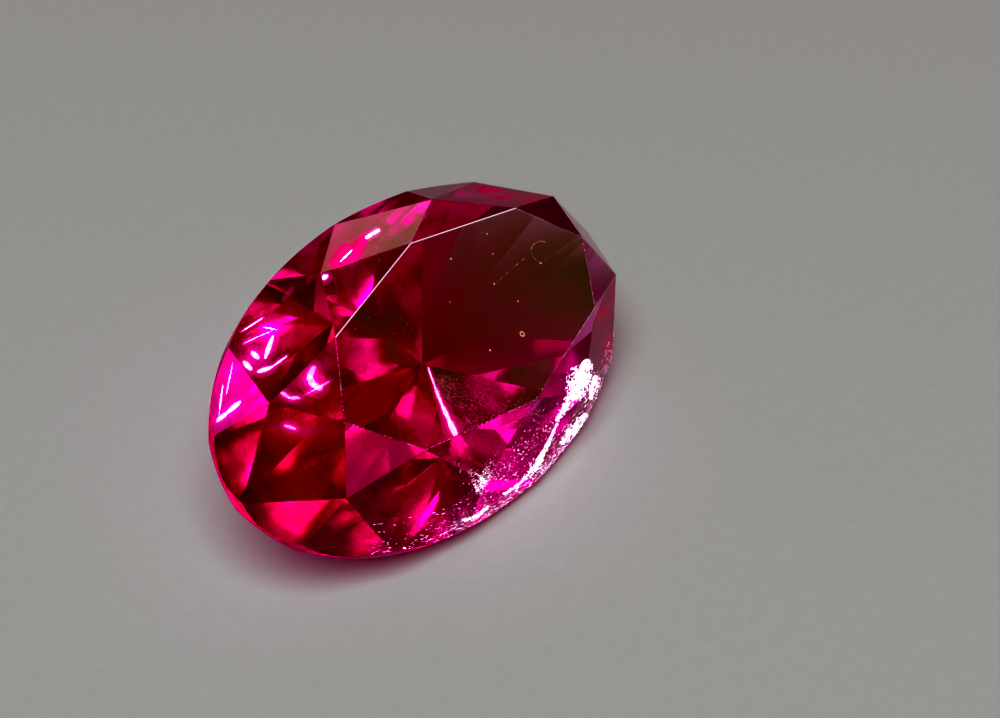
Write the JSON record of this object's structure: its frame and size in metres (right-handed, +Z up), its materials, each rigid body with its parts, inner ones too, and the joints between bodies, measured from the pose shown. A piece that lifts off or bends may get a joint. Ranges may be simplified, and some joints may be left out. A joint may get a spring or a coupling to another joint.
{
  "type": "faceted oval ruby",
  "caption": "Loose oval brilliant-cut red gem crystal, lying on one flat facet of its pavilion with its table tilted up.",
  "frame": {"origin": "middle of the resting stone's footprint, on the surface that it lies on", "axes": "+X along the stone's length, +Z up; the table faces up and towards -Y"},
  "size_m": [0.014, 0.0064, 0.0056],
  "materials": {
    "ruby_crystal": "see-through red to pink crystal, polished flat facets with worn, slightly frosted edges"
  },
  "bodies": {
    "root": {"ruby": "ruby_crystal"}
  },
  "joints": []
}
